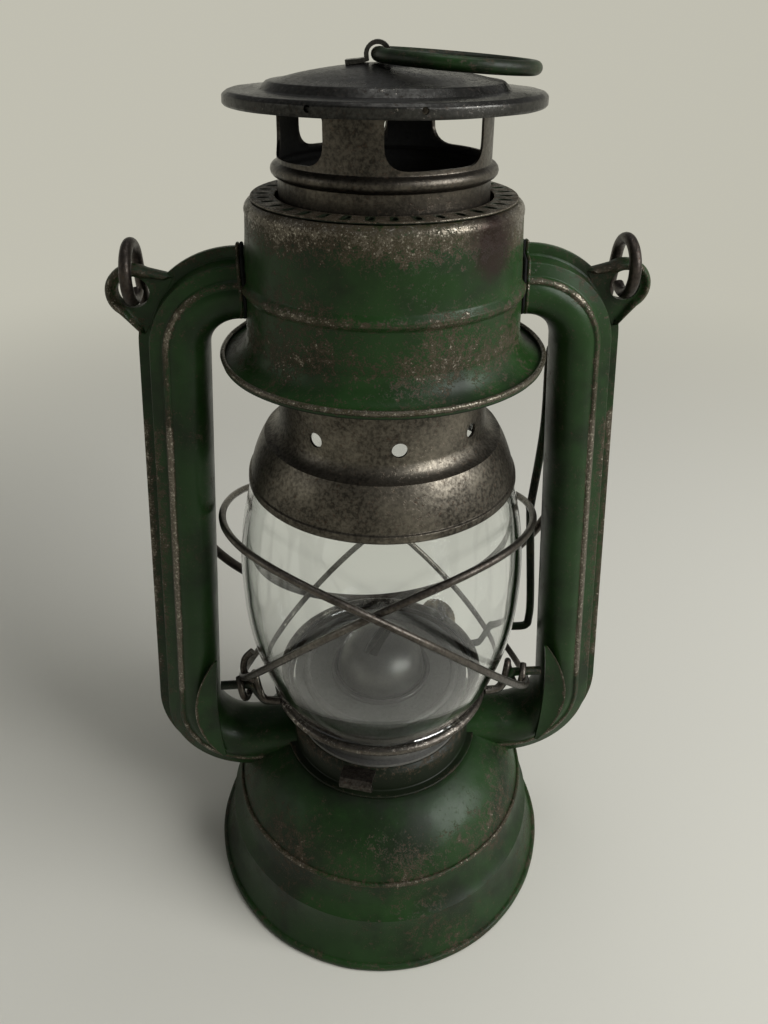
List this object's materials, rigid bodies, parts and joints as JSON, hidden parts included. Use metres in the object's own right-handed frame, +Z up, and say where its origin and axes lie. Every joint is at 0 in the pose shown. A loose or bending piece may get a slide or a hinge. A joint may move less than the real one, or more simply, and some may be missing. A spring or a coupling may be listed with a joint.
{
  "type": "hurricane lantern",
  "caption": "Tubular oil lantern with lifting glass globe in a crossed wire guard, side air tubes, sprung chimney with lift ring, and a hanging wire bail.",
  "frame": {"origin": "centre of the foot ring, on the ground under the lantern", "axes": "+Z up along the globe's axis, -Y the front seen in the picture, +X the viewer's right; both air tubes lie in the XZ plane"},
  "size_m": [0.165, 0.124, 0.291],
  "materials": {
    "green_paint": "worn satin paint with bare edges and rust specks",
    "dark_steel": "heat-stained bare steel",
    "grey_wire": "dull grey wire",
    "brass": "dull brass",
    "clear_glass": "clear",
    "cotton": "woven",
    "gasket": "matt"
  },
  "bodies": {
    "frame": {"tank_skirt": "green_paint", "tank_bottom": "green_paint", "tank_dome": "green_paint", "filler_neck": "brass", "filler_gasket": "gasket", "burner_collar": "green_paint", "air_chamber": "dark_steel", "burner_body": "dark_steel", "burner_tab": "green_paint", "burner_plate": "dark_steel", "burner_cone": "dark_steel", "wick_tube": "brass", "tube_left_front": "green_paint", "tube_left_back": "green_paint", "tube_right_front": "green_paint", "tube_right_back": "green_paint", "guide_left": "green_paint", "guide_right": "green_paint", "hood": "green_paint", "hood_vent": "green_paint", "chimney_spring": "dark_steel"},
    "globe_carriage": {"gallery": "grey_wire", "gallery_arm_left": "green_paint", "gallery_arm_right": "green_paint", "globe": "clear_glass", "guard_hoop_left": "grey_wire", "guard_hoop_right": "grey_wire", "lift_lever": "green_paint"},
    "chimney": {"bell": "dark_steel", "spring_seat": "dark_steel", "chimney_tube": "dark_steel", "cap": "dark_steel", "cap_lug": "dark_steel"},
    "lift_ring": {"lift_ring": "green_paint"},
    "bail": {"bail": "dark_steel"},
    "wick_winder": {"wick_spindle": "brass", "wick_knob": "brass"},
    "wick": {"wick": "cotton"},
    "filler_cap": {"filler_cap": "green_paint"}
  },
  "joints": [
    {"name": "globe_lift", "type": "slide", "parent": "frame", "child": "globe_carriage", "axis": [0, 0, 1], "range_m": [0, 0.012], "deforming": ["chimney_spring"]},
    {"name": "chimney_lift", "type": "slide", "parent": "globe_carriage", "child": "chimney", "axis": [0, 0, 1], "range_m": [0, 0.014], "deforming": ["chimney_spring"]},
    {"name": "lift_ring_hinge", "type": "hinge", "parent": "chimney", "child": "lift_ring", "pos_m": [-0.00199, 0.00015, 0.28765], "axis": [-0.0732, -0.9973, 0], "range_deg": [0, 188]},
    {"name": "bail_swing", "type": "hinge", "parent": "frame", "child": "bail", "pos_m": [0, 0, 0.22723], "axis": [1, 0, 0], "range_deg": [0, 250]},
    {"name": "wick_turn", "type": "hinge", "parent": "frame", "child": "wick_winder", "pos_m": [0.00485, -0.0028, 0.0656], "axis": [0.5, 0.866, 0], "range_deg": [0, 79]},
    {"name": "wick_slide", "type": "slide", "parent": "frame", "child": "wick", "axis": [0, 0, 1], "range_m": [0, 0.006]},
    {"name": "filler_turn", "type": "hinge", "parent": "frame", "child": "filler_cap", "pos_m": [-0.00807, 0.04578, 0.04158], "axis": [-0.1279, 0.7252, 0.6766], "continuous": true}
  ],
  "couplings": [
    {"joint": "wick_slide", "follows": "wick_turn", "m_per_rad": 0.0043}
  ]
}
